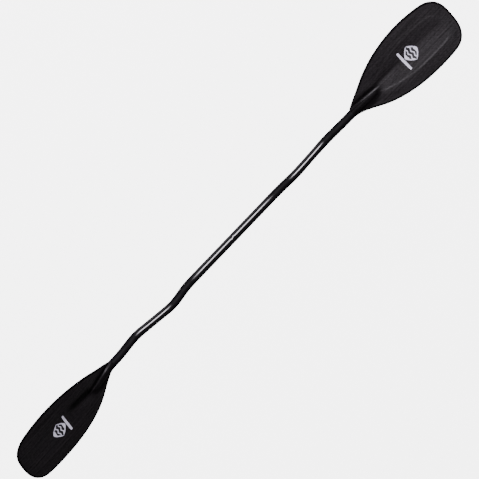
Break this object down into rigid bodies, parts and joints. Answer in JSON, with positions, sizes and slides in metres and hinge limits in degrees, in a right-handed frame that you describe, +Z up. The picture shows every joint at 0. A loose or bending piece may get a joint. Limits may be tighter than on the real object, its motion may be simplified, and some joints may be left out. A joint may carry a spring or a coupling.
{
  "type": "kayak paddle",
  "caption": "Carbon whitewater kayak paddle with a double-bent shaft, cranked grips and two feathered, spooned foam-core blades with reinforced rims.",
  "frame": {"origin": "centre of the bounding box in plan, at the lowest point of the paddle", "axes": "+X along the shaft toward the right-hand blade, +Z up with the power faces looking up, the blades rolled fifteen degrees either way about X"},
  "size_m": [2.0008, 0.2156, 0.0936],
  "materials": {
    "gloss_tube": "clear-coated black carbon laminate",
    "grip_tube": "satin black carbon laminate",
    "neck_tube": "satin black carbon laminate",
    "joiner": "glass-fibre joiner sleeve",
    "foam": "closed-cell foam",
    "power_skin": "black carbon laminate with a soft sheen",
    "back_skin": "black carbon laminate with a soft sheen",
    "rim": "dark reinforced edge laminate",
    "print": "plain white print"
  },
  "bodies": {
    "root": {"shaft_centre_tube": "gloss_tube", "left_grip_tube": "grip_tube", "right_grip_tube": "grip_tube", "left_neck_tube": "neck_tube", "right_neck_tube": "neck_tube", "left_centre_joiner_sleeve": "joiner", "left_neck_joiner_sleeve": "joiner", "right_centre_joiner_sleeve": "joiner", "right_neck_joiner_sleeve": "joiner", "left_shaft_foam_plug": "foam", "right_shaft_foam_plug": "foam", "left_blade_power_skin": "power_skin", "right_blade_power_skin": "power_skin", "left_blade_back_skin": "back_skin", "right_blade_back_skin": "back_skin", "left_blade_foam_core": "foam", "right_blade_foam_core": "foam", "left_blade_rim": "rim", "right_blade_rim": "rim", "left_blade_badge": "print", "right_blade_badge": "print", "left_blade_stripe": "print", "right_blade_stripe": "print"}
  },
  "joints": []
}
